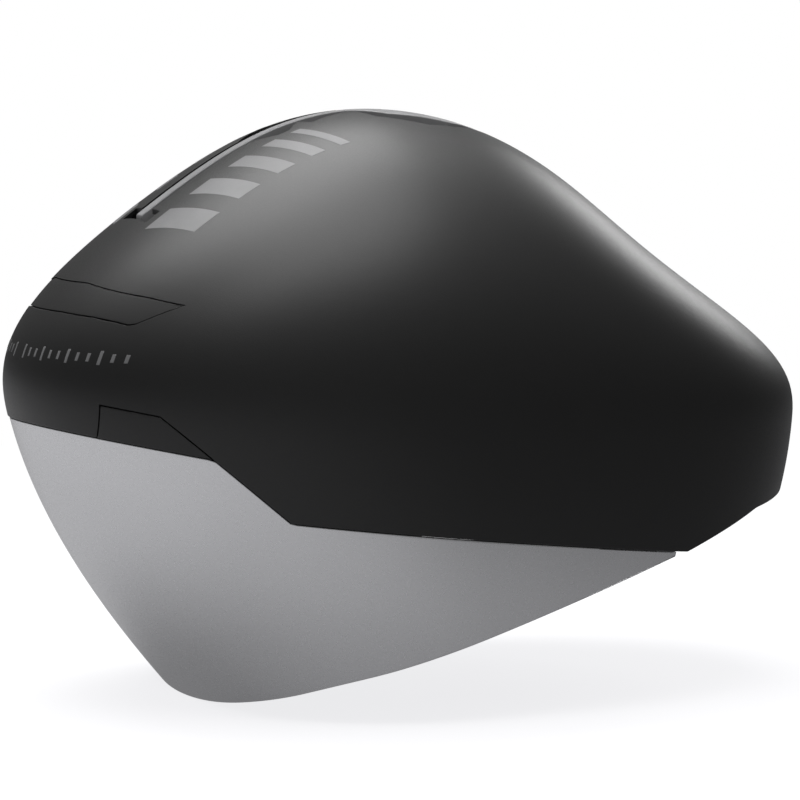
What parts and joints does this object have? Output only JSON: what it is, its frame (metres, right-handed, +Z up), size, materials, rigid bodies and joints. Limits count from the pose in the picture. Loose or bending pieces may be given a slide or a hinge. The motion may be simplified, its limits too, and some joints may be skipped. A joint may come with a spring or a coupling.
{
  "type": "aero time trial helmet",
  "caption": "Smooth long-tailed time trial cycling helmet with a removable wrap-round mirrored visor, crown vents and an inner fit band with a dial.",
  "frame": {"origin": "head seat reference: in the middle plane, at the shell's widest station and at the level of its front-most point, the brow", "axes": "+X forward, +Y to the wearer's left, +Z up"},
  "size_m": [0.3127, 0.214, 0.22],
  "materials": {
    "shell_black": "satin black, fine speckle",
    "dock_black": "satin black, a little darker than the shell",
    "spine_grey": "semi-gloss grey",
    "duct_black": "matte black",
    "foam_dark": "moulded bead foam, dark grey",
    "visor_mirror": "silver-grey mirror coat, glossy",
    "frame_black": "moulded, fine grain",
    "magnet_steel": "nickel plated",
    "pad_fabric": "brushed knit over soft foam",
    "band_plastic": "satin moulded",
    "dial_rubber": "soft grip",
    "pinion_plastic": "natural acetal",
    "strap_webbing": "fine ribbed webbing",
    "pin_plastic": "moulded",
    "buckle_plastic": "fine spark texture"
  },
  "bodies": {
    "helmet": {"outer_shell": "shell_black", "dock_plate": "dock_black", "brow_cover_left": "shell_black", "brow_cover_right": "shell_black", "crown_duct": "duct_black", "crown_spine": "spine_grey", "dock_magnets": "magnet_steel", "visor_frame": "frame_black", "lower_rim_left": "frame_black", "lower_rim_right": "frame_black", "tail_diffuser": "frame_black", "edge_seal_left": "dial_rubber", "edge_seal_right": "dial_rubber", "brow_pad": "pad_fabric", "crown_pad": "pad_fabric", "side_pad_left": "pad_fabric", "side_pad_right": "pad_fabric", "rear_pad": "pad_fabric", "temple_guide_left": "band_plastic", "temple_guide_right": "band_plastic", "height_post": "band_plastic", "strap_left": "strap_webbing", "strap_right": "strap_webbing", "strap_pins": "pin_plastic", "post_pins": "pin_plastic", "foam_liner": "foam_dark", "strap_divider_left": "buckle_plastic", "strap_divider_right": "buckle_plastic", "buckle_socket": "buckle_plastic"},
    "visor": {"visor_lens": "visor_mirror", "visor_anchors": "frame_black"},
    "carriage": {"height_carriage": "band_plastic"},
    "cradle": {"cradle_housing": "band_plastic", "cradle_cover": "pin_plastic", "fit_band_left": "band_plastic", "fit_band_right": "band_plastic", "nape_pad_left": "pad_fabric", "nape_pad_right": "pad_fabric"},
    "dial": {"fit_dial": "dial_rubber", "drive_pinion": "pinion_plastic"},
    "tongue": {"buckle_tongue": "buckle_plastic"}
  },
  "joints": [
    {"name": "visor_release", "type": "slide", "parent": "helmet", "child": "visor", "axis": [1, 0, 0], "range_m": [0, 0.24]},
    {"name": "height_slide", "type": "slide", "parent": "helmet", "child": "carriage", "axis": [0, 0, -1], "range_m": [0, 0.008]},
    {"name": "cradle_slide", "type": "slide", "parent": "carriage", "child": "cradle", "axis": [1, 0, 0], "range_m": [0, 0.01256]},
    {"name": "dial_turn", "type": "hinge", "parent": "cradle", "child": "dial", "pos_m": [-0.1045, 0, -0.0542], "axis": [-1, 0, 0], "range_deg": [0, 180]},
    {"name": "buckle_release", "type": "slide", "parent": "helmet", "child": "tongue", "axis": [0, -1, 0], "range_m": [0, 0.014], "deforming": ["strap_right"]}
  ],
  "couplings": [
    {"joint": "dial_turn", "follows": "cradle_slide", "rad_per_m": 250}
  ]
}
